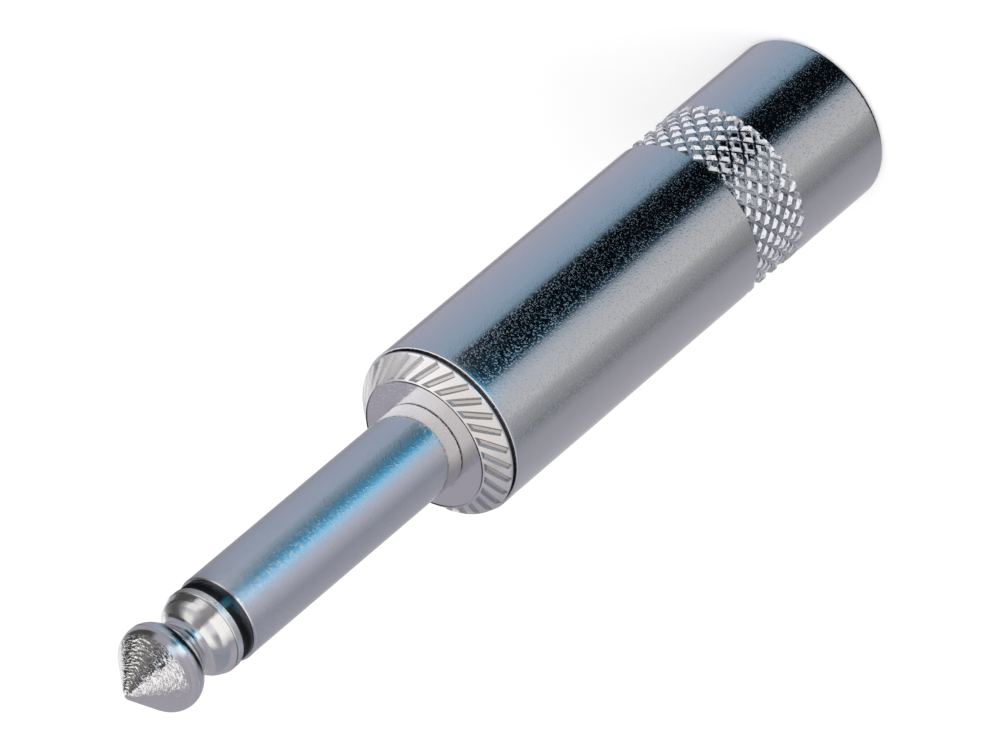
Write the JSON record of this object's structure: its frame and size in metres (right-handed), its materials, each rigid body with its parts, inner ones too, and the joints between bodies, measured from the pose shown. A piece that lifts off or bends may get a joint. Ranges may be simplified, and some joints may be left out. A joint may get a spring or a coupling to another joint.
{
  "type": "audio jack plug",
  "caption": "Two-pole audio jack plug with a turned tip and sleeve, a serrated collar and a screw-off metal shell with a diamond-knurled grip band.",
  "frame": {"origin": "centre of the shell's flat rear face, which the plug stands on", "axes": "+Z along the plug's axis towards the tip; the arm of the earth terminal lies on the -Y side"},
  "size_m": [0.0126, 0.0126, 0.074],
  "materials": {
    "shell_metal": "satin nickel plate",
    "sleeve_metal": "satin nickel plate",
    "tip_metal": "turned and nickel plated",
    "ring_plastic": "glossy black",
    "tube_plastic": "plain",
    "washer_fibre": "pressed fibre",
    "tinned_sheet": "tinned sheet",
    "liner_plastic": "plain"
  },
  "bodies": {
    "shell": {"shell": "shell_metal"},
    "liner": {"liner": "liner_plastic"},
    "core": {"sleeve": "sleeve_metal", "tip_contact": "tip_metal", "ring_insulator": "ring_plastic", "tube_insulator": "tube_plastic", "rear_washer": "washer_fibre", "earth_terminal": "tinned_sheet", "tip_terminal": "tinned_sheet"}
  },
  "joints": [
    {"name": "core_advance", "type": "slide", "parent": "shell", "child": "liner", "axis": [0, 0, 1], "range_m": [0, 0.0045]},
    {"name": "core_turn", "type": "hinge", "parent": "liner", "child": "core", "pos_m": [0, 0, 0.03825], "axis": [0, 0, 1], "range_deg": [0, 2160]}
  ],
  "couplings": [
    {"joint": "core_advance", "follows": "core_turn", "m_per_rad": 0.00011937}
  ]
}
